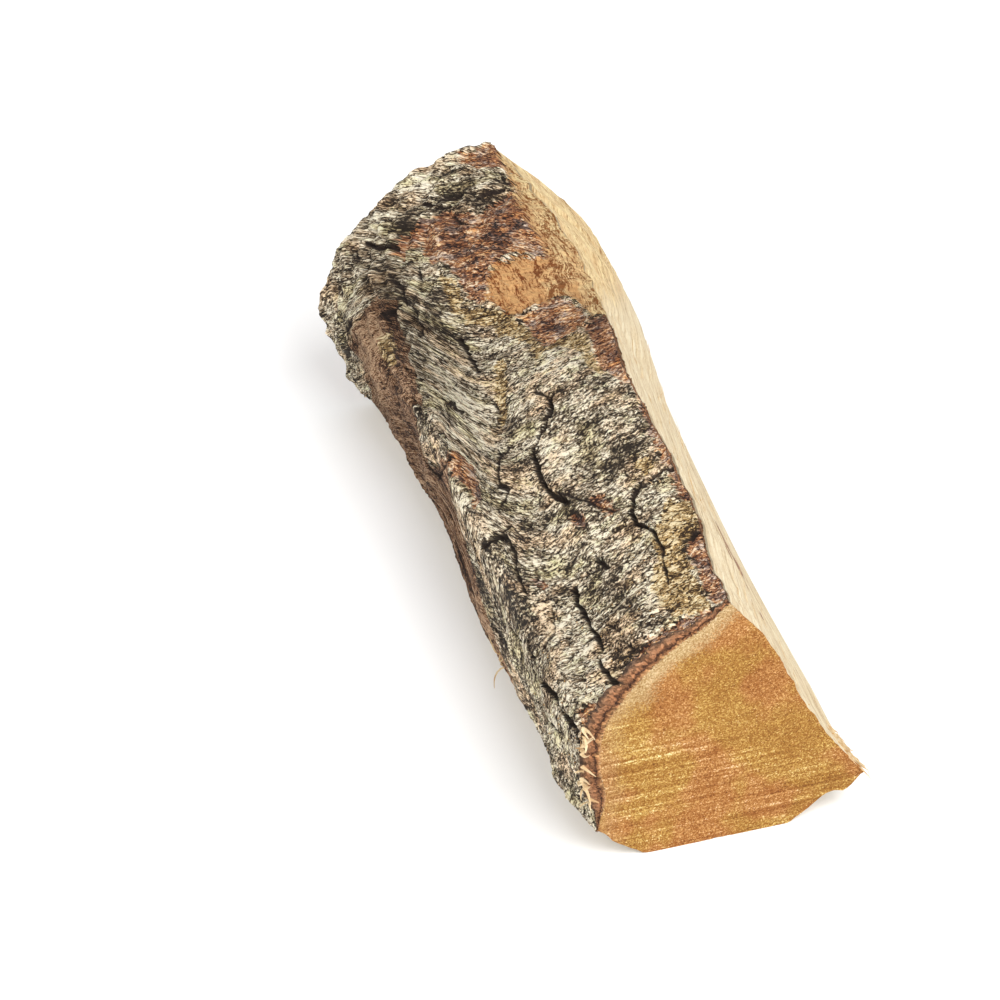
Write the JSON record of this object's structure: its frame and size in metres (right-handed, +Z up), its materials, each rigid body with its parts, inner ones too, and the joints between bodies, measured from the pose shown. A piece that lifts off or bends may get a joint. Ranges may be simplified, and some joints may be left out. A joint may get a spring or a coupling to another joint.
{
  "type": "split log",
  "caption": "Split log of firewood: a wedge of round trunk with bark on its curved side and sawn ends, lying on a split face.",
  "frame": {"origin": "middle of the log's bounding box in X and Y, on the surface that it lies on", "axes": "+Y along the log from the plain sawn end to the knobbed end, +X towards the pith edge, +Z up from the surface"},
  "size_m": [0.1374, 0.3, 0.1231],
  "materials": {
    "bark": "rough grey-brown bark",
    "split_wood": "pale split wood with long grain",
    "sawn_wood": "orange-tan sawn end grain"
  },
  "bodies": {
    "root": {"split_log": "bark"}
  },
  "joints": []
}
